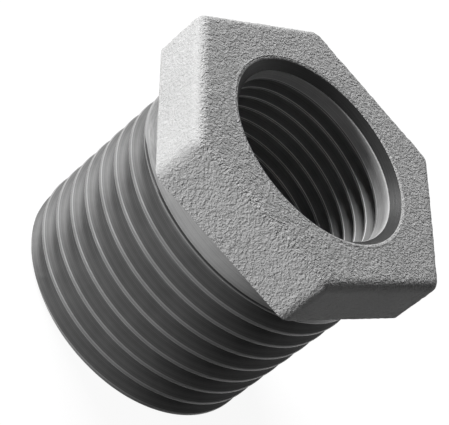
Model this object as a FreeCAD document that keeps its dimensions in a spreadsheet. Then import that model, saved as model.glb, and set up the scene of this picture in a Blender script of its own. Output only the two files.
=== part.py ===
import FreeCAD, Part
import math
import os
import Sketcher

# A hexagon reducing bush: a cast hexagon head on a threaded shank, bored right through,
# with a finer thread inside than outside.
# The axis is Z. The origin is the centre of the flat threaded end, and the head is on top.
# Two corners of the hexagon lie on the X axis. All lengths are in millimetres.

DIMENSIONS = [
    ("across_flats", 17.48, "width of the hexagon across flats"),
    ("head_height", 3.51, "thickness of the hexagon"),
    ("total_length", 16.1, "from the threaded end to the face of the hexagon"),
    ("corner_radius", 0.9, "rounding of the six upright edges"),
    ("face_edge_radius", 0.6, "rounding round the face of the hexagon"),
    ("male_crest_radius", 8.14, "outside radius of the shank and of its thread"),
    ("male_pitch", 1.337, "nineteen threads to the inch"),
    ("male_phase", 0.448, "height of the first groove over the end at the X axis, in pitches"),
    ("plain_neck", 0.4, "shortest plain length between the outside thread and the fillet under the head"),
    ("runout_turns", 0.17, "part of a turn over which either groove fades out"),
    ("end_chamfer", 0.25, "chamfer round the threaded end"),
    ("neck_radius", 0.2, "fillet between the shank and the back of the hexagon"),
    ("bore_radius", 5.53, "radius of the bore and of the crests of the inside thread"),
    ("female_pitch", 0.907, "twenty-eight threads to the inch"),
    ("female_phase", 1.84, "depth under the face, at the X axis, where the inside thread starts, in pitches"),
    ("female_length", 10.8, "length of the inside thread, from the face of the hexagon"),
    ("mouth_radius", 6.12, "radius of the mouth in the face of the hexagon"),
    ("mouth_depth", 0.6, "depth of the countersink at the mouth"),
    ("exit_chamfer", 0.45, "chamfer of the bore at the threaded end"),
    ("depth_ratio", 0.64, "depth of either thread, in pitches"),
    ("crest_ratio", 0.15, "flat on the crest of either thread, in pitches"),
    ("root_ratio", 0.167, "flat at the bottom of either groove, in pitches"),
    ("clearance", 0.1, "how far a cutter stands clear of the surface it cuts"),
]

document = FreeCAD.newDocument("reducing_bush")
sheet = document.addObject("Spreadsheet::Sheet", "Sizes")
for row, (alias, value, meaning) in enumerate(DIMENSIONS, start=1):
    sheet.set("A%d" % row, alias)
    sheet.set("B%d" % row, str(value))
    sheet.set("C%d" % row, meaning)
    sheet.setAlias("B%d" % row, alias)
document.recompute()

body = document.addObject("PartDesign::Body", "ReducingBush")
body.Label = "reducing_bush"
body.Placement = FreeCAD.Placement()
document.recompute()


whole_numbers = {}


def value_of(expression):
    """The value of an expression in the sheet's aliases, in millimetres."""
    for text, number in whole_numbers.items():
        expression = expression.replace(text, str(number))
    names = {alias: sheet.get(alias) for alias, _, _ in DIMENSIONS}
    for alias in sorted(names, key=len, reverse=True):
        expression = expression.replace("Sizes." + alias, repr(float(names[alias])))
    return float(FreeCAD.Units.Quantity(expression).Value)


def whole(expression):
    """An expression for the whole part of another one."""
    text = "floor(%s)" % expression
    whole_numbers[text] = math.floor(value_of(expression))
    return text


def origin_feature(role):
    """The plane or axis of the body's origin with this role."""
    for feature in body.Origin.OriginFeatures:
        if feature.Role == role:
            return feature
    raise ValueError("no origin feature " + role)


def new_sketch(name, plane):
    """An empty sketch on one of the body's origin planes."""
    sketch = body.newObject("Sketcher::SketchObject", name)
    sketch.AttachmentSupport = [(origin_feature(plane), "")]
    sketch.MapMode = "FlatFace"
    return sketch


def add_outline(sketch, corners, hollow=None):
    """A closed outline whose corners are (name, across, up), both as expressions; a zero is put on the axis.

    The side that starts at the corner called hollow is a quarter circle that curves up and outward.
    """
    places = [FreeCAD.Vector(value_of(across), value_of(up), 0) for _, across, up in corners]
    ends = [(2, 1) if name == hollow else (1, 2) for name, _, _ in corners]
    count = len(corners)
    for k in range(count):
        start = places[k]
        end = places[(k + 1) % count]
        if corners[k][0] == hollow:
            centre = FreeCAD.Vector(end.x, start.y, 0)
            circle = Part.Circle(centre, FreeCAD.Vector(0, 0, 1), end.x - start.x)
            sketch.addGeometry(Part.ArcOfCircle(circle, math.pi / 2, math.pi), False)
            sketch.addConstraint(Sketcher.Constraint("Vertical", k, 3, k, 1))
        else:
            sketch.addGeometry(Part.LineSegment(start, end), False)
    for k in range(count):
        following = (k + 1) % count
        sketch.addConstraint(
            Sketcher.Constraint("Coincident", k, ends[k][1], following, ends[following][0]))
    for k, (name, across, up) in enumerate(corners):
        for kind, axis, expression, place in (
            ("DistanceX", -2, across, places[k].x),
            ("DistanceY", -1, up, places[k].y),
        ):
            if expression == "0":
                sketch.addConstraint(Sketcher.Constraint("PointOnObject", k, ends[k][0], axis))
                continue
            index = sketch.addConstraint(Sketcher.Constraint(kind, -1, 1, k, ends[k][0], place))
            label = name + ("_across" if kind == "DistanceX" else "_up")
            sketch.renameConstraint(index, label)
            sketch.setExpression("Constraints." + label, expression)


def checked(feature, grows):
    """Recomputes and makes sure that the feature added or removed material."""
    before = checked.volume
    document.recompute()
    after = feature.Shape.Volume
    if (after > before) != grows or abs(after - before) < 1e-6:
        raise RuntimeError("%s left the volume at %.3f, from %.3f" % (feature.Name, after, before))
    checked.volume = after
    return feature


checked.volume = 0.0

# Shank: turned about Z, with a chamfer round its free end and a fillet up to the back of the head.
shank_outline = new_sketch("ShankOutline", "XZ_Plane")
add_outline(shank_outline, [
    ("foot", "0", "0"),
    ("chamfer_foot", "Sizes.male_crest_radius - Sizes.end_chamfer", "0"),
    ("chamfer_top", "Sizes.male_crest_radius", "Sizes.end_chamfer"),
    ("neck_foot", "Sizes.male_crest_radius",
     "Sizes.total_length - Sizes.head_height - Sizes.neck_radius"),
    ("neck_top", "Sizes.male_crest_radius + Sizes.neck_radius",
     "Sizes.total_length - Sizes.head_height"),
    ("centre", "0", "Sizes.total_length - Sizes.head_height"),
], hollow="neck_foot")
shank = body.newObject("PartDesign::Revolution", "Shank")
shank.Profile = shank_outline
shank.ReferenceAxis = (shank_outline, ["V_Axis"])
shank.Angle = 360
checked(shank, True)

# Head: a regular hexagon, sketched at the shoulder and padded up to the face.
head_outline = new_sketch("HeadOutline", "XY_Plane")
head_outline.setExpression("AttachmentOffset.Base.z", "Sizes.total_length - Sizes.head_height")
corner_reach = value_of("Sizes.across_flats") / math.sqrt(3)
for k in range(6):
    start = FreeCAD.Vector(corner_reach * math.cos(math.radians(60 * k)),
                           corner_reach * math.sin(math.radians(60 * k)), 0)
    end = FreeCAD.Vector(corner_reach * math.cos(math.radians(60 * k + 60)),
                         corner_reach * math.sin(math.radians(60 * k + 60)), 0)
    head_outline.addGeometry(Part.LineSegment(start, end), False)
circle = head_outline.addGeometry(
    Part.Circle(FreeCAD.Vector(0, 0, 0), FreeCAD.Vector(0, 0, 1), corner_reach), True)
for k in range(6):
    head_outline.addConstraint(Sketcher.Constraint("Coincident", k, 2, (k + 1) % 6, 1))
for k in range(5):
    head_outline.addConstraint(Sketcher.Constraint("Equal", k, k + 1))
head_outline.addConstraint(Sketcher.Constraint("Coincident", circle, 3, -1, 1))
for k in range(6):
    head_outline.addConstraint(Sketcher.Constraint("PointOnObject", k, 1, circle))
head_outline.addConstraint(Sketcher.Constraint("PointOnObject", 0, 1, -1))
reach = head_outline.addConstraint(Sketcher.Constraint("Radius", circle, corner_reach))
head_outline.renameConstraint(reach, "corner_reach")
head_outline.setExpression("Constraints.corner_reach", "Sizes.across_flats / sqrt(3)")
head = body.newObject("PartDesign::Pad", "Head")
head.Profile = head_outline
head.setExpression("Length", "Sizes.head_height")
checked(head, True)

shoulder_height = value_of("Sizes.total_length") - value_of("Sizes.head_height")
total_length = value_of("Sizes.total_length")


def edges_where(feature, test):
    """The names of the feature's edges that pass the test."""
    names = []
    for number, edge in enumerate(feature.Shape.Edges, start=1):
        if test(edge):
            names.append("Edge%d" % number)
    return names


def is_upright(edge):
    """A straight edge of the head that runs from the shoulder to the face."""
    heights = sorted(vertex.Z for vertex in edge.Vertexes)
    if len(heights) != 2:
        return False
    reaches_face = abs(heights[1] - total_length) < 1e-6
    return reaches_face and abs(heights[0] - shoulder_height) < 1e-6


def is_face_edge(edge):
    """An edge that lies in the face of the hexagon."""
    return all(abs(vertex.Z - total_length) < 1e-6 for vertex in edge.Vertexes)


# Edges of the head: upright corners first, then the rim of the face runs round them.
corners = body.newObject("PartDesign::Fillet", "Corners")
corners.Base = (head, edges_where(head, is_upright))
corners.setExpression("Radius", "Sizes.corner_radius")
checked(corners, False)

face_rim = body.newObject("PartDesign::Fillet", "FaceRim")
face_rim.Base = (corners, edges_where(corners, is_face_edge))
face_rim.setExpression("Radius", "Sizes.face_edge_radius")
checked(face_rim, False)

# Bore: turned out about Z, with a wide countersink at the mouth and a chamfer at the threaded end.
bore_outline = new_sketch("BoreOutline", "XZ_Plane")
add_outline(bore_outline, [
    ("below_centre", "0", "0 - Sizes.clearance"),
    ("below_edge", "Sizes.bore_radius + Sizes.exit_chamfer + Sizes.clearance", "0 - Sizes.clearance"),
    ("exit_top", "Sizes.bore_radius", "Sizes.exit_chamfer"),
    ("mouth_foot", "Sizes.bore_radius", "Sizes.total_length - Sizes.mouth_depth"),
    ("mouth_edge", "Sizes.mouth_radius", "Sizes.total_length"),
    ("above_edge", "Sizes.mouth_radius", "Sizes.total_length + Sizes.clearance"),
    ("above_centre", "0", "Sizes.total_length + Sizes.clearance"),
])
bore = body.newObject("PartDesign::Groove", "Bore")
bore.Profile = bore_outline
bore.ReferenceAxis = (bore_outline, ["V_Axis"])
bore.Angle = 360
checked(bore, False)


def thread_profile(name, crest, outward, pitch, middle):
    """The section of a groove at a height, cut outward (1) or inward (-1) from the crest radius.

    Its flanks go on past the crest at the same slope, by the clearance.
    """
    away = "%s - %d * Sizes.clearance" % (crest, outward)
    root = "%s + %d * Sizes.depth_ratio * %s" % (crest, outward, pitch)
    half_root = "Sizes.root_ratio * %s / 2" % pitch
    slope = "(1 - Sizes.crest_ratio - Sizes.root_ratio) / (2 * Sizes.depth_ratio)"
    half_gap = "((1 - Sizes.crest_ratio) * %s / 2 + %s * Sizes.clearance)" % (pitch, slope)
    sketch = new_sketch(name, "XZ_Plane")
    add_outline(sketch, [
        ("mouth_low", away, "%s - %s" % (middle, half_gap)),
        ("root_low", root, "%s - %s" % (middle, half_root)),
        ("root_high", root, "%s + %s" % (middle, half_root)),
        ("mouth_high", away, "%s + %s" % (middle, half_gap)),
    ])
    return sketch


def cut_helix(name, profile, pitch, turns, downward, angle):
    """A right-hand groove round the axis, upward or downward; an angle makes it a cone's."""
    helix = body.newObject("PartDesign::SubtractiveHelix", name)
    helix.Profile = profile
    helix.ReferenceAxis = (origin_feature("Z_Axis"), [""])
    helix.Mode = "pitch-turns-angle"
    helix.setExpression("Pitch", pitch)
    helix.setExpression("Turns", turns)
    if angle:
        helix.setExpression("Angle", angle)
    helix.LeftHanded = False
    helix.Reversed = downward
    return checked(helix, False)


FADE_ANGLE = "atan(Sizes.depth_ratio / Sizes.runout_turns)"

# Outside thread: from under the end, in whole turns, then a last part of a turn that fades outward.
male_turns = whole("(Sizes.total_length - Sizes.head_height - Sizes.neck_radius - Sizes.plain_neck)"
                   " / Sizes.male_pitch - Sizes.male_phase - (1 - Sizes.crest_ratio) / 2")
male_profile = thread_profile(
    "MaleProfile", "Sizes.male_crest_radius", -1, "Sizes.male_pitch",
    "(Sizes.male_phase - 2) * Sizes.male_pitch")
cut_helix("MaleThread", male_profile, "Sizes.male_pitch", male_turns + " + 2", False, None)

male_fade = thread_profile(
    "MaleFadeProfile", "Sizes.male_crest_radius", -1, "Sizes.male_pitch",
    "(Sizes.male_phase + %s) * Sizes.male_pitch" % male_turns)
cut_helix("MaleFade", male_fade, "Sizes.male_pitch", "Sizes.runout_turns", False, FADE_ANGLE)

# Inside thread: downward in whole turns, with a part of a turn at either end that fades inward.
female_turns = whole("Sizes.female_length / Sizes.female_pitch - Sizes.female_phase")


def female_groove(name, turns_down):
    """The section of the inside groove, a number of turns below its start."""
    return thread_profile(
        name, "Sizes.bore_radius", 1, "Sizes.female_pitch",
        "Sizes.total_length - (Sizes.female_phase + %s) * Sizes.female_pitch" % turns_down)


cut_helix("FemaleThread", female_groove("FemaleProfile", "0"), "Sizes.female_pitch", female_turns, True, None)
cut_helix("FemaleStart", female_groove("FemaleStartProfile", "0"), "Sizes.female_pitch",
          "Sizes.runout_turns", False, "-1 * " + FADE_ANGLE)
thread = cut_helix("FemaleFade", female_groove("FemaleFadeProfile", female_turns), "Sizes.female_pitch",
                   "Sizes.runout_turns", True, "-1 * " + FADE_ANGLE)

body.Tip = thread
document.recompute()

for item in document.Objects:
    if "Invalid" in item.State or "Error" in item.State:
        raise RuntimeError(item.Name + " did not compute")
if body.Shape.isNull() or not body.Shape.isValid() or len(body.Shape.Solids) != 1:
    raise RuntimeError("the bush is not one valid solid")

os.makedirs("parts", exist_ok=True)
body.Shape.exportStep("parts/reducing_bush.step")
print("volume %.2f mm3" % body.Shape.Volume)
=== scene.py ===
import math

import bmesh
import bpy
import numpy as np
from mathutils import Matrix, Vector, noise


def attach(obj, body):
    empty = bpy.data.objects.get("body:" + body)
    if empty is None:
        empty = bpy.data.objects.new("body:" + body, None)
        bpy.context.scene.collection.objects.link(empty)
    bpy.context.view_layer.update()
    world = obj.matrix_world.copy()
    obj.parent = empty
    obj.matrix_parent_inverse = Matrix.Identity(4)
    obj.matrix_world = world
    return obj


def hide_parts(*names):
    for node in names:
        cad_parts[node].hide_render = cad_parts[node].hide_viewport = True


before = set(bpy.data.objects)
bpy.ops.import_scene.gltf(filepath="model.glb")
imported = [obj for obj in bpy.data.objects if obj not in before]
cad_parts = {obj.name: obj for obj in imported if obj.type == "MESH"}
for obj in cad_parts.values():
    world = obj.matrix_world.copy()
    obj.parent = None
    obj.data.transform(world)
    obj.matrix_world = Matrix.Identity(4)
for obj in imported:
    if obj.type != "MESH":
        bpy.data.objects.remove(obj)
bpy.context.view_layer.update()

# A hexagon reducing bush. Lengths are in millimetres up to the mesh, which is in metres.
MM = 0.001

# The hexagon head. BACK_EDGE is the small slant where its sides meet its back.
FLAT = 17.48 / 2
HEAD_BACK = 12.59
LENGTH = 16.1
CORNER_RADIUS = 0.9
RIM_RADIUS = 0.6
BACK_EDGE = 0.05

# The countersunk mouth. Its lip is rounded, which takes LIP_REACH from the face and from the cone.
# MOUTH_FOOT is the height of the cone's lowest strip, which takes the turned band's light grey as a
# painted bright line at the cone's foot.
MOUTH_RADIUS = 6.12
MOUTH_DEPTH = 0.6
MOUTH_LIP = 0.25
LIP_REACH = MOUTH_LIP * math.tan(math.pi / 8)
MOUTH_FOOT = 0.05

# The fillet under the head and the chamfers at the threaded end, outside and inside.
NECK_RADIUS = 0.2
END_CHAMFER = 0.25
EXIT_CHAMFER = 0.45

# The section of a groove from its middle to the middle of the crest, in pitches: a rounded root, a
# straight flank, and a flat crest with a small rounding at its edge.
THREAD_DEPTH = 0.64
CREST_HALF = 0.075
ROOT_HALF = 0.0835
ROOT_ROUNDING = 0.137
CREST_ROUNDING = 0.06
GROOVE_HALF = 0.5 - CREST_HALF

# Both threads. Groove number 0 has its middle at the height foot at azimuth 0, and the groove after
# it lies one pitch higher. The shank's is MALE_PHASE pitches above the threaded end, and the bore's
# is FEMALE_PHASE pitches under the face. The depth goes inwards on the shank, outwards in the bore.
MALE_PITCH = 1.337
MALE_PHASE = 0.448
MALE = {
    "crest": 8.14,
    "pitch": MALE_PITCH,
    "depth": -THREAD_DEPTH * MALE_PITCH,
    "foot": MALE_PHASE * MALE_PITCH,
}
FEMALE_PITCH = 0.907
FEMALE_PHASE = 0.84
FEMALE = {
    "crest": 5.53,
    "pitch": FEMALE_PITCH,
    "depth": THREAD_DEPTH * FEMALE_PITCH,
    "foot": LENGTH - FEMALE_PHASE * FEMALE_PITCH,
}

# The numbers of the last whole groove under the head, of the highest and the lowest whole groove in
# the bore, and of the bore's top rows, past the mouth. Then the height of the bore's plain end.
MALE_LAST = 8
FEMALE_FIRST = -1
FEMALE_LAST = -11
FEMALE_TOP = 2
FEMALE_PLAIN_TOP = 4.7

# A groove fades over this angle at its end, where it keeps at least this share of its width. SPARE
# is the number of grooves made beyond each end, to be clamped there.
FULL_TURN = 2 * math.pi
RUNOUT_TURNS = 0.17
FADE = RUNOUT_TURNS * FULL_TURN
NARROWEST = 0.12
SPARE = 2

# Above the inside thread the bore keeps a shallow turned band, with this share of a groove's depth.
BAND_SHARE = 0.06

# The crease where the last crest meets the plain neck. It starts, is full and ends at these turns,
# takes at most this share of its strip, and has its full width from a quarter of its depth on.
CREASE_WIDTH = 0.15
CREASE_DEPTH = 0.07
CREASE_TURNS = np.radians([30, 60, 115, 140])
CREASE_ROOM = 0.8
CREASE_OPENING = 4

# How finely the surfaces are divided.
COLUMNS = 144
TURNS = np.linspace(0, FULL_TURN, COLUMNS + 1)
ROOT_ARC = 4
CREST_ARC = 3
CORNER_STEPS = 8
FLAT_STEPS = 92
FACE_ROWS = 26
SIDE_ROWS = 30
BACK_ROWS = 4
MOUTH_ROWS = 8
END_ROWS = 6
RIM_ANGLES = np.radians([90, 68, 45, 22, 0])
NECK_ANGLES = np.radians([0, 30, 60, 90])
LIP_ANGLES = np.radians([0, 15, 30, 45])

# The cast grain of the head. Each layer has its depth, its scale, how far a warp bends it and its
# offset in the noise.
GRAIN_WARP_SCALE = 1.3
GRAIN_LAYERS = [
    (0.012, 0.9, 0.0, (4.0, 1.0, 6.0)),
    (0.024, 2.6, 0.5, (0.0, 0.0, 0.0)),
    (0.014, 4.6, 0.6, (2.7, 8.8, 1.4)),
]

# How fast the grain grows over the face from the mouth's edge, its share at the sides' lower end,
# on BACK_EDGE and on the back, and how BACK_EDGE faces, outwards and down: the grain sinks there.
GRAIN_GROWTH = 22
SIDE_END_GRAIN = 0.7
BACK_EDGE_GRAIN = 0.3
BACK_GRAIN = 0.5
BACK_EDGE_FACES = (0.3, -0.3)

# Points nearer than WELD become one. Edges between machined faces stay sharp from SHARP_ANGLE on.
WELD = 0.002
SHARP_ANGLE = math.radians(40)

# Material slots, in the order of the materials that make_object gets.
CAST, OUTSIDE, INSIDE, NECK, MOUTH, CREST, EDGE, INNER_EDGE, CREASE, BAND = range(10)


def half_profile():
    """Distances from the groove's middle, in pitches, and the share of the groove's depth there."""
    slope = math.atan2(THREAD_DEPTH, GROOVE_HALF - ROOT_HALF)
    root_side = ROOT_HALF - ROOT_ROUNDING * math.tan(slope / 2)
    crest_side = GROOVE_HALF + CREST_ROUNDING * math.tan(slope / 2)
    steps = []
    depths = []
    for angle in np.linspace(0, slope, ROOT_ARC + 1):
        steps.append(max(0.0, root_side + ROOT_ROUNDING * math.sin(angle)))
        depths.append(THREAD_DEPTH - ROOT_ROUNDING * (1 - math.cos(angle)))
    for angle in np.linspace(slope, 0, CREST_ARC + 1):
        steps.append(crest_side - CREST_ROUNDING * math.sin(angle))
        depths.append(CREST_ROUNDING * (1 - math.cos(angle)))
    steps.append(0.5)
    depths.append(0.0)
    return np.array(steps), np.array(depths) / THREAD_DEPTH


HALF_STEPS, HALF_DEPTHS = half_profile()
TURN_STEPS = np.concatenate([-HALF_STEPS[:0:-1], HALF_STEPS[:-1]])


class Shell:
    """Vertices and faces of one closed surface, gathered in pieces."""

    def __init__(self):
        self.points = []
        self.faces = []
        self.slots = []

    def add_face(self, face, slot):
        self.faces.append(tuple(int(k) for k in face))
        self.slots.append(slot)

    def add_rows(self, points, slots, closed=True):
        """Faces over rows by columns of points. Gives each row's vertex numbers.

        slots has the material slot of each strip between two rows. Closed rows join their last
        column to their first. Rows along a thread repeat the first column, some rows on.
        """
        rows, columns = points.shape[:2]
        index = len(self.points) + np.arange(rows * columns).reshape(rows, columns)
        self.points.extend(tuple(float(c) for c in p) for p in points.reshape(-1, 3))
        across = np.column_stack([index, index[:, 0]]) if closed else index
        for i in range(rows - 1):
            low, high = across[i], across[i + 1]
            for j in range(across.shape[1] - 1):
                self.add_face((low[j], low[j + 1], high[j + 1], high[j]), slots[i])
        return index

    def add_closed(self, points, slot):
        """Closed rows of one material."""
        return self.add_rows(points, [slot] * (len(points) - 1))

    def zip_rings(self, lower, upper, slot):
        """Triangles between two closed rings with different numbers of points, by azimuth."""
        def turn(k):
            x, y, _ = self.points[k]
            return math.atan2(y, x) % FULL_TURN

        rings = []
        for ring in (lower, upper):
            ring = sorted((turn(k), k) for k in ring)
            rings.append(ring + [(ring[0][0] + FULL_TURN, ring[0][1])])
        a, b = rings
        i = j = 0
        while i < len(a) - 1 or j < len(b) - 1:
            if j == len(b) - 1 or (i < len(a) - 1 and a[i + 1][0] <= b[j + 1][0]):
                self.add_face((a[i][1], a[i + 1][1], b[j][1]), slot)
                i += 1
            else:
                self.add_face((a[i][1], b[j + 1][1], b[j][1]), slot)
                j += 1


def groove_depth(distance):
    """Depth of a groove, from 0 to 1, at a distance from its middle in pitches."""
    return np.interp(np.abs(distance), HALF_STEPS, HALF_DEPTHS)


def thread_rows(thread, first, last, strength, full_width=()):
    """Rows of heights and radii by azimuth, along the grooves numbered first to last.

    strength(number, turn) is the share of the groove's depth, which fades where the thread runs
    out. The grooves in full_width keep their width as they fade.
    """
    heights = []
    radii = []
    for number in range(first, last + 1):
        share = np.array([strength(number, turn) for turn in TURNS])
        squeeze = np.clip(share, 1.0 if number in full_width else NARROWEST, 1.0)
        inner = ROOT_HALF + (GROOVE_HALF - ROOT_HALF) * squeeze
        middle = number + TURNS / FULL_TURN
        for step in TURN_STEPS:
            size = abs(step)
            if size <= ROOT_HALF:
                place = np.full(len(TURNS), size)
            elif size <= GROOVE_HALF:
                place = ROOT_HALF + (size - ROOT_HALF) * squeeze
            else:
                place = inner + (0.5 - inner) * (size - GROOVE_HALF) / (0.5 - GROOVE_HALF)
            rise = middle + math.copysign(1, step) * place
            heights.append(thread["foot"] + thread["pitch"] * rise)
            radii.append(thread["crest"] + thread["depth"] * share * groove_depth(step))
    return np.array(heights), np.array(radii)


def clamp_rows(heights, radii, low, high):
    """Rows kept between two heights; a point beyond one goes to the surface at that height."""
    out_radii = np.array(radii)
    for limit, beyond in ((low, heights < low), (high, heights > high)):
        for j in range(heights.shape[1]):
            out_radii[beyond[:, j], j] = np.interp(limit, heights[:, j], radii[:, j])
    return np.clip(heights, low, high), out_radii


def strip_slots(rows, groove_slot, edge_slot, crest_slot):
    """Slots of the strips between a thread's rows: groove, rounded crest edge and crest flat."""
    slack = 1e-6
    edge_start = HALF_STEPS[ROOT_ARC + 1] - slack
    crest_start = HALF_STEPS[ROOT_ARC + 1 + CREST_ARC] - slack
    slots = []
    for i in range(rows - 1):
        nearest = min(abs(TURN_STEPS[k % len(TURN_STEPS)]) for k in (i, i + 1))
        if nearest >= crest_start:
            slots.append(crest_slot)
        elif nearest >= edge_start:
            slots.append(edge_slot)
        else:
            slots.append(groove_slot)
    return slots


def as_points(heights, radii):
    """Points from rows of heights and radii, one column for each of TURNS."""
    x = radii * np.cos(TURNS)[None, :]
    y = radii * np.sin(TURNS)[None, :]
    return np.stack([x, y, heights], axis=-1)


def all_round(values):
    """Rows that have one value each all the way round."""
    return np.repeat(np.array(values)[:, None], COLUMNS + 1, axis=1)


def turned_points(profile):
    """Closed rows of points of a turned surface, from the heights and radii of its profile."""
    heights, radii = zip(*profile)
    return as_points(all_round(heights), all_round(radii))[:, :-1]


def male_strength(number, turn):
    """The share of full depth of an outside groove, which fades out under the head."""
    if number < MALE_LAST:
        return 1.0
    if number == MALE_LAST and turn < FADE:
        return 1.0 - turn / FADE
    return 0.0


def female_strength(number, turn):
    """The share of full depth of an inside groove, which fades at both ends of the thread."""
    if number > FEMALE_FIRST:
        return BAND_SHARE
    if number == FEMALE_FIRST:
        return max(BAND_SHARE, 1.0 - turn / FADE)
    if number >= FEMALE_LAST:
        return 1.0
    if number == FEMALE_LAST - 1 and turn > FULL_TURN - FADE:
        return 1.0 - (FULL_TURN - turn) / FADE
    return 0.0


def head_columns():
    """The hexagon drawn in by its corner radius, and the directions that its points face."""
    reach = (FLAT - CORNER_RADIUS) / math.cos(math.pi / 6)
    sixth = math.pi / 3
    places = []
    faces = []
    for k in range(6):
        here = np.array([reach * math.cos(k * sixth), reach * math.sin(k * sixth)])
        ahead = np.array([reach * math.cos((k + 1) * sixth), reach * math.sin((k + 1) * sixth)])
        for s in range(CORNER_STEPS):
            angle = k * sixth - math.pi / 6 + s / CORNER_STEPS * sixth
            places.append(here)
            faces.append((math.cos(angle), math.sin(angle)))
        for s in range(FLAT_STEPS):
            angle = k * sixth + math.pi / 6
            places.append(here + (ahead - here) * s / FLAT_STEPS)
            faces.append((math.cos(angle), math.sin(angle)))
    return np.array(places), np.array(faces)


# noise_vector takes its offsets from this seed, which is the time of day unless it is set.
noise.seed_set(5)


def grain(point):
    """Depth of the cast grain at a point, from 0 up, in millimetres."""
    place = Vector(point)
    warp = noise.noise_vector(place * GRAIN_WARP_SCALE)
    depth = 0.0
    for layer, scale, bend, offset in GRAIN_LAYERS:
        depth += layer * (noise.noise(place * scale + warp * bend + Vector(offset)) + 0.5)
    return max(0.0, depth)


def head_rows():
    """Rows of points from the mouth over the face, the rim and the side to the hexagon's back."""
    places, faces = head_columns()
    count = len(places)
    rows = []
    normals = []
    depth = []

    def add(row, height, normal, share):
        rows.append(np.column_stack([row, np.full(count, height)]))
        normals.append(np.column_stack([faces * normal[0], np.full(count, normal[1])]))
        depth.append(np.full(count, share))

    inner = CORNER_RADIUS - RIM_RADIUS
    rim = places + faces * inner
    mouth = rim / np.linalg.norm(rim, axis=1)[:, None] * (MOUTH_RADIUS + LIP_REACH)
    for v in np.linspace(0, 1, FACE_ROWS, endpoint=False):
        add(mouth + (rim - mouth) * v, LENGTH, (0.0, 1.0), min(1.0, v * GRAIN_GROWTH))
    for angle in RIM_ANGLES:
        add(places + faces * (inner + RIM_RADIUS * math.cos(angle)),
            LENGTH - RIM_RADIUS * (1 - math.sin(angle)), (math.cos(angle), math.sin(angle)), 1.0)
    side = LENGTH - RIM_RADIUS - HEAD_BACK - BACK_EDGE
    for v in np.linspace(0, 1, SIDE_ROWS)[1:]:
        add(places + faces * CORNER_RADIUS, LENGTH - RIM_RADIUS - v * side, (1.0, 0.0),
            1.0 if v < 1 else SIDE_END_GRAIN)
    outer = places + faces * (CORNER_RADIUS - BACK_EDGE)
    add(outer, HEAD_BACK, BACK_EDGE_FACES, BACK_EDGE_GRAIN)
    neck = outer / np.linalg.norm(outer, axis=1)[:, None] * (MALE["crest"] + NECK_RADIUS)
    for v in np.linspace(0, 1, BACK_ROWS)[1:]:
        add(outer + (neck - outer) * v, HEAD_BACK, (0.0, -1.0), BACK_GRAIN * (1 - v))
    for row, row_normals, share in zip(rows, normals, depth):
        for j in range(count):
            if share[j] > 0:
                row[j] -= row_normals[j] * share[j] * grain(row[j])
    return np.array(rows)


def add_crease(heights, radii, slots, at):
    """A narrow groove above a row, with two more rows in it, that fades out at both ends."""
    share = np.interp(TURNS, CREASE_TURNS, [0.0, 1.0, 1.0, 0.0])
    room = heights[at + 1] - heights[at]
    spread = np.minimum(1.0, share * CREASE_OPENING)
    new_heights = []
    for part in (0.5, 1.0):
        rise = np.minimum(CREASE_WIDTH * part, room * part * CREASE_ROOM)
        new_heights.append(heights[at] + rise * spread)
    new_radii = [radii[at] - CREASE_DEPTH * share, radii[at]]
    heights = np.concatenate([heights[:at + 1], new_heights, heights[at + 1:]])
    radii = np.concatenate([radii[:at + 1], new_radii, radii[at + 1:]])
    # The crease's strips are nearly black, as painted shade in the crease.
    return heights, radii, slots[:at] + [CREASE, CREASE] + slots[at:]


def add_neck(shell, head_ring):
    """The fillet between the shank and the head's back, joined to the head's last ring."""
    profile = []
    for angle in NECK_ANGLES:
        height = HEAD_BACK - NECK_RADIUS + NECK_RADIUS * math.sin(angle)
        profile.append((height, MALE["crest"] + NECK_RADIUS * (1 - math.cos(angle))))
    neck = shell.add_closed(turned_points(profile), NECK)
    shell.zip_rings(neck[-1], head_ring, CAST)


def add_outside_thread(shell):
    """The shank's thread, with the crease and the plain neck above its last groove."""
    heights, radii = thread_rows(MALE, -SPARE, MALE_LAST + SPARE, male_strength)
    heights, radii = clamp_rows(heights, radii, END_CHAMFER, HEAD_BACK - NECK_RADIUS)
    # The groove strips are darker than the crest flats, as painted shade, and the rounded crest
    # edges are lighter, as a painted highlight.
    slots = strip_slots(len(heights), OUTSIDE, EDGE, CREST)
    neck_strips = (SPARE + 1) * len(TURN_STEPS) - 1
    slots[-neck_strips:] = [NECK] * neck_strips
    heights, radii, slots = add_crease(heights, radii, slots, len(slots) - neck_strips)
    shell.add_rows(as_points(heights, radii), slots, closed=False)


def add_threaded_end(shell):
    """The chamfer that cuts the outside thread, the flat end, and the bore's plain lower part."""
    heights = all_round(np.linspace(0.0, END_CHAMFER, END_ROWS))
    rise = (heights - MALE["foot"]) / MALE["pitch"] - TURNS / FULL_TURN
    radii = MALE["crest"] + MALE["depth"] * groove_depth(rise - np.round(rise))
    radii = np.minimum(radii, MALE["crest"] - END_CHAMFER + heights)
    shell.add_closed(as_points(heights, radii)[:, :-1], OUTSIDE)

    bore = FEMALE["crest"]
    exit_radius = bore + EXIT_CHAMFER
    profile = [(FEMALE_PLAIN_TOP, bore), (EXIT_CHAMFER, bore), (0.0, exit_radius)]
    shell.add_closed(turned_points(profile), INSIDE)

    flat = np.array([radii[0] * (1 - v) + exit_radius * v for v in (1.0, 0.5, 0.0)])
    shell.add_closed(as_points(np.zeros_like(flat), flat)[:, :-1], OUTSIDE)


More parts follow.
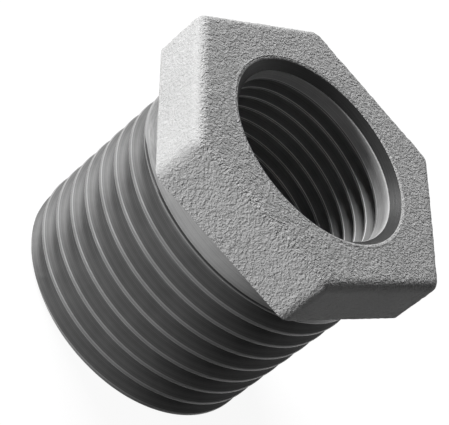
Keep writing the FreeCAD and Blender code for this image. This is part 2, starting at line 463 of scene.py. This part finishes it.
def add_inside_thread(shell):
    """The bore's thread, with the turned band above it. Gives the radii of its top row."""
    full_width = range(FEMALE_FIRST, FEMALE_TOP + 1)
    first = FEMALE_LAST - SPARE
    heights, radii = thread_rows(FEMALE, first, FEMALE_TOP, female_strength, full_width)
    heights, radii = clamp_rows(heights, radii, FEMALE_PLAIN_TOP, LENGTH - MOUTH_DEPTH)
    # The bore's rounded crest edges are very light, as a painted highlight.
    slots = strip_slots(len(heights), INSIDE, INNER_EDGE, INSIDE)
    # The band's strips are lighter than the thread, as painted light.
    band_start = (FEMALE_FIRST - first) * len(TURN_STEPS) + CREST_ARC + 1
    slots[band_start:] = [BAND] * (len(slots) - band_start)
    shell.add_rows(as_points(heights, radii)[::-1], slots[::-1], closed=False)
    return radii[-1]


def add_mouth(shell, bore_radii, head_ring):
    """The countersink, from the bore's top row up, and its rounded lip, joined to the face."""
    slope = (MOUTH_RADIUS - FEMALE["crest"]) / MOUTH_DEPTH
    cone_top = MOUTH_DEPTH - LIP_REACH * math.sqrt(0.5)
    rises = [0.0] + list(np.linspace(MOUTH_FOOT, cone_top, MOUTH_ROWS))
    heights = all_round(rises)
    cone = np.maximum(FEMALE["crest"] + heights * slope, bore_radii)
    # The countersink's strips are nearly black, as a painted dark reflection; the lowest one takes
    # the band's light grey, a painted bright line at the cone's foot.
    slots = [MOUTH] * (len(rises) - 2) + [BAND]
    shell.add_rows(as_points(heights + LENGTH - MOUTH_DEPTH, cone)[::-1, :-1], slots)
    profile = []
    for angle in LIP_ANGLES:
        height = LENGTH - MOUTH_LIP * (1 - math.cos(angle))
        profile.append((height, MOUTH_RADIUS + LIP_REACH - MOUTH_LIP * math.sin(angle)))
    lip = shell.add_closed(turned_points(profile), CAST)
    shell.zip_rings(head_ring, lip[0], CAST)


def build_bush():
    """One closed surface: head, neck, outside thread, flat end, bore, inside thread and mouth."""
    shell = Shell()
    head = shell.add_closed(head_rows()[::-1], CAST)
    add_neck(shell, head[0])
    add_outside_thread(shell)
    add_threaded_end(shell)
    bore_radii = add_inside_thread(shell)
    add_mouth(shell, bore_radii, head[-1])
    return shell


def make_object(name, shell, materials):
    """A mesh object from a shell, welded, smooth, with sharp edges where machined faces meet."""
    mesh = bpy.data.meshes.new(name)
    mesh.from_pydata([tuple(c * MM for c in p) for p in shell.points], [], shell.faces)
    for material in materials:
        mesh.materials.append(material)
    mesh.polygons.foreach_set("material_index", shell.slots)
    cleaner = bmesh.new()
    cleaner.from_mesh(mesh)
    bmesh.ops.remove_doubles(cleaner, verts=cleaner.verts, dist=WELD * MM)
    bmesh.ops.recalc_face_normals(cleaner, faces=cleaner.faces)
    for face in cleaner.faces:
        face.smooth = True
    for edge in cleaner.edges:
        sides = [face.material_index for face in edge.link_faces]
        if len(sides) == 2 and max(sides) > CAST:
            edge.smooth = edge.calc_face_angle(0.0) < SHARP_ANGLE
    cleaner.to_mesh(mesh)
    cleaner.free()
    made = bpy.data.objects.new(name, mesh)
    bpy.context.scene.collection.objects.link(made)
    return made


class Nodes:
    """A short way to write the nodes of a material or a world."""

    def __init__(self, tree):
        self.tree = tree
        tree.nodes.clear()

    def add(self, kind, **settings):
        node = self.tree.nodes.new(kind)
        for key, value in settings.items():
            if key in node.inputs:
                node.inputs[key].default_value = value
            else:
                setattr(node, key, value)
        return node

    def link(self, source, target):
        self.tree.links.new(source, target)

    def math(self, operation, first, second=None, clamp=False):
        node = self.add("ShaderNodeMath", operation=operation, use_clamp=clamp)
        for k, value in enumerate((first, second)):
            if isinstance(value, (int, float)):
                node.inputs[k].default_value = value
            elif value is not None:
                self.link(value, node.inputs[k])
        return node.outputs[0]

    def blend(self, first, first_share, second, second_share):
        first = self.math("MULTIPLY", first, first_share)
        return self.math("ADD", first, self.math("MULTIPLY", second, second_share))

    def noise(self, vector, scale, detail, roughness, distortion=0.0):
        node = self.add("ShaderNodeTexNoise", Scale=scale, Detail=detail, Roughness=roughness,
                        Distortion=distortion)
        self.link(vector, node.inputs["Vector"])
        return node.outputs["Fac"]

    def ramp(self, value, stops):
        """Greys between two stops, each a place and a level."""
        node = self.add("ShaderNodeValToRGB")
        for element, (place, level) in zip(node.color_ramp.elements, stops):
            element.position = place
            element.color = (level, level, level, 1)
        self.link(value, node.inputs["Fac"])
        return node.outputs["Color"]

    def bump(self, height, strength, distance):
        node = self.add("ShaderNodeBump", Strength=strength, Distance=distance)
        self.link(height, node.inputs["Height"])
        return node.outputs[0]

    def millimetres(self):
        """The object's own coordinates in millimetres."""
        coordinates = self.add("ShaderNodeTexCoord").outputs["Object"]
        scaled = self.add("ShaderNodeVectorMath", operation="SCALE", Scale=1 / MM)
        self.link(coordinates, scaled.inputs[0])
        return scaled.outputs[0]

    def split(self, vector):
        node = self.add("ShaderNodeSeparateXYZ")
        self.link(vector, node.inputs[0])
        return node.outputs[0], node.outputs[1], node.outputs[2]

    def mix(self, share, first, second):
        """A shader that goes from the first to the second as the share goes from 0 to 1."""
        node = self.add("ShaderNodeMixShader")
        for k, source in enumerate((share, first, second)):
            self.link(source, node.inputs[k])
        return node.outputs[0]

    def output(self, shader, kind="ShaderNodeOutputMaterial"):
        self.link(shader, self.add(kind).inputs["Surface"])


def new_material(name):
    material = bpy.data.materials.new(name)
    material.use_nodes = True
    return material, Nodes(material.node_tree)


def steel(n, colour, roughness, normal, gloss):
    """The shader of every steel surface here."""
    shader = n.add("ShaderNodeBsdfPrincipled", Metallic=0.0, IOR=1.45)
    shader.inputs["Specular IOR Level"].default_value = gloss
    n.link(colour, shader.inputs["Base Color"])
    n.link(roughness, shader.inputs["Roughness"])
    n.link(normal, shader.inputs["Normal"])
    n.output(shader.outputs[0])


# The cast grain in the material: the fine noise's share beside the worm-like one, and how much more
# of both the hexagon's face has than its sides. The change starts at FACE_GRAIN_START and takes
# 1 / FACE_GRAIN_GROWTH mm upwards.
FINE_SHARE = 0.75
FACE_GRAIN_MORE = 1.35
FACE_GRAIN_START = LENGTH - 0.35
FACE_GRAIN_GROWTH = 1 / 0.3


def cast_material():
    """Grit-blasted cast steel: matt grey with a fine worm-like grain."""
    material, n = new_material("cast_head")
    place = n.millimetres()
    worms = n.noise(place, scale=6.0, detail=1.0, roughness=0.5, distortion=0.4)
    fine = n.noise(place, scale=10.5, detail=2.0, roughness=0.6, distortion=0.2)
    _, _, z = n.split(place)
    above = n.math("SUBTRACT", z, FACE_GRAIN_START)
    face = n.math("MULTIPLY", above, FACE_GRAIN_GROWTH, clamp=True)
    height = n.math("ADD", worms, n.math("MULTIPLY", fine, FINE_SHARE))
    more = n.math("ADD", n.math("MULTIPLY", face, FACE_GRAIN_MORE), 1.0)
    height = n.math("MULTIPLY", height, more)
    tone = n.noise(place, scale=0.35, detail=3.0, roughness=0.6)
    colour = n.ramp(n.blend(tone, 0.5, worms, 0.5), [(0.25, 0.44), (0.75, 0.54)])
    rough = n.math("ADD", n.math("MULTIPLY", fine, 0.2), 0.5)
    steel(n, colour, rough, n.bump(height, strength=1.0, distance=0.000112), gloss=0.12)
    return material


# The tool marks: how far the noise moves round the thread's section and along the radius, and the
# darkest and the lightest mark, as shares of the finish's grey.
MARK_REACH = 0.6
MARK_RADIUS_SCALE = 1.5
MARK_DARK = 0.72
MARK_LIGHT = 1.28


def machined_material(name, thread, level, gloss):
    """Turned steel: smooth grey, with faint tool marks that run along the thread."""
    material, n = new_material(name)
    place = n.millimetres()
    x, y, z = n.split(place)
    # The marks are noise over the place across the thread's section, the same all along it.
    turn = n.math("ARCTAN2", y, x)
    phase = n.math("SUBTRACT", n.math("MULTIPLY", z, FULL_TURN / thread["pitch"]), turn)
    radius = n.math("SQRT", n.math("ADD", n.math("MULTIPLY", x, x), n.math("MULTIPLY", y, y)))
    marks = n.add("ShaderNodeCombineXYZ")
    n.link(n.math("MULTIPLY", n.math("COSINE", phase), MARK_REACH), marks.inputs[0])
    n.link(n.math("MULTIPLY", n.math("SINE", phase), MARK_REACH), marks.inputs[1])
    n.link(n.math("MULTIPLY", radius, MARK_RADIUS_SCALE), marks.inputs[2])
    lines = n.noise(marks.outputs[0], scale=9.0, detail=3.0, roughness=0.7)
    wear = n.noise(place, scale=0.5, detail=3.0, roughness=0.6)
    # The level is the surface's grey, which for several surfaces is painted light or shade.
    stops = [(0.35, level * MARK_DARK), (0.65, level * MARK_LIGHT)]
    colour = n.ramp(n.blend(lines, 0.7, wear, 0.3), stops)
    rough = n.math("ADD", n.math("MULTIPLY", wear, 0.15), 0.25)
    steel(n, colour, rough, n.bump(lines, strength=0.5, distance=0.00002), gloss)
    return material


def seen_directly(n):
    """1 to the camera, in reflections and through glass, and 0 where a surface gives light."""
    path = n.add("ShaderNodeLightPath")
    seen = n.math("ADD", path.outputs["Is Camera Ray"], path.outputs["Is Glossy Ray"])
    return n.math("ADD", seen, path.outputs["Is Transmission Ray"], clamp=True)


def add_world(strength):
    """A white background, which lights the object only with the given strength."""
    world = bpy.data.worlds.new("studio")
    bpy.context.scene.world = world
    world.use_nodes = True
    n = Nodes(world.node_tree)
    soft = n.add("ShaderNodeBackground", Color=(1, 1, 1, 1), Strength=strength)
    white = n.add("ShaderNodeBackground", Color=(1, 1, 1, 1), Strength=1.0)
    mix = n.mix(seen_directly(n), soft.outputs[0], white.outputs[0])
    n.output(mix, "ShaderNodeOutputWorld")


def add_floor(half, tone, glow):
    """A plain pale floor that keeps the object's shadow and is white to the camera round it."""
    material, n = new_material("floor")
    plain = n.add("ShaderNodeBsdfDiffuse", Color=(tone, tone, tone, 1))
    shine = n.add("ShaderNodeEmission", Color=(1, 1, 1, 1), Strength=glow)
    both = n.add("ShaderNodeAddShader")
    n.link(plain.outputs[0], both.inputs[0])
    n.link(shine.outputs[0], both.inputs[1])
    n.output(n.mix(seen_directly(n), plain.outputs[0], both.outputs[0]))
    corners = [(-half, -half, 0), (half, -half, 0), (half, half, 0), (-half, half, 0)]
    mesh = bpy.data.meshes.new("floor")
    mesh.from_pydata(corners, [], [(0, 1, 2, 3)])
    mesh.materials.append(material)
    floor = bpy.data.objects.new("floor", mesh)
    bpy.context.scene.collection.objects.link(floor)


# Camera, at the photograph's viewing angle: its right, up and backward directions and its place.
VIEW_RIGHT = Vector((-0.65880, -0.38933, 0.64374))
VIEW_UP = Vector((0.75026, -0.40325, 0.52393))
VIEW_BACK = Vector((0.05560, 0.82814, 0.55776))
VIEW_PLACE = Vector((0.0066758, 0.0889659, 0.0684138))
HALF_WIDTH_PX = 224.5
FOCAL_PX = 1887.74
NEAREST = 0.005
FARTHEST = 5.0


def add_camera():
    """The camera fitted to the photograph."""
    data = bpy.data.cameras.new("camera")
    data.sensor_fit = "HORIZONTAL"
    data.angle = 2 * math.atan(HALF_WIDTH_PX / FOCAL_PX)
    data.clip_start = NEAREST
    data.clip_end = FARTHEST
    camera = bpy.data.objects.new("camera", data)
    turn = Matrix((VIEW_RIGHT, VIEW_UP, VIEW_BACK)).transposed()
    camera.matrix_world = Matrix.Translation(VIEW_PLACE) @ turn.to_4x4()
    bpy.context.scene.collection.objects.link(camera)
    bpy.context.scene.camera = camera


LAMP_AIM = Vector((0.0, 0.0, 0.009))


def add_lamp(name, azimuth, elevation, distance, width, height, power):
    """A soft flat lamp that faces the object, at angles in degrees from X and from the floor."""
    turn = math.radians(azimuth)
    rise = math.radians(elevation)
    flat = math.cos(rise)
    direction = Vector((math.cos(turn) * flat, math.sin(turn) * flat, math.sin(rise)))
    data = bpy.data.lights.new(name, "AREA")
    data.shape = "RECTANGLE"
    data.size = width
    data.size_y = height
    data.energy = power
    lamp = bpy.data.objects.new(name, data)
    lamp.location = LAMP_AIM + direction * distance
    lamp.rotation_euler = direction.to_track_quat("Z", "Y").to_euler()
    bpy.context.scene.collection.objects.link(lamp)


# The machined surfaces, in the order of their slots: the thread that the tool marks follow, the
# grey level and the specular level. Several grey levels paint light and shade: the groove flanks
# and roots are darker than the crest flats, as painted shade; the rounded crest edges outside and
# inside are lighter, as painted highlights; the countersink is nearly black, as a painted dark
# reflection; the crease is dark, as painted shade; the turned band is light, as painted light.
FINISHES_WITH_PAINTED_LIGHT = [
    ("turned_outside_painted_shade", MALE, 0.128, 0.12),
    ("turned_inside", FEMALE, 0.27, 0.04),
    ("turned_neck", MALE, 0.30, 0.12),
    ("turned_mouth_painted_reflection", FEMALE, 0.036, 0.12),
    ("thread_crest", MALE, 0.17, 0.22),
    ("thread_edge_painted_highlight", MALE, 0.22, 0.25),
    ("inner_edge_painted_highlight", FEMALE, 0.78, 0.25),
    ("crease", MALE, 0.06, 0.1),
    ("turned_band_painted_light", FEMALE, 0.56, 0.08),
]

materials = [cast_material()] + [machined_material(*finish) for finish in FINISHES_WITH_PAINTED_LIGHT]
bush = make_object("bush_surface", build_bush(), materials)
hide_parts("reducing_bush")
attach(bush, "root")

add_floor(half=0.6, tone=0.12, glow=0.93)
add_world(strength=0.025)
add_camera()
add_lamp("key", 34, 3, distance=0.30, width=0.08, height=0.04, power=1.04)
add_lamp("top", -33, 40, distance=0.30, width=0.14, height=0.14, power=1.03)
add_lamp("fill", 150, 1.5, distance=0.50, width=0.20, height=0.03, power=0.09)
bpy.context.scene.view_settings.view_transform = "Standard"
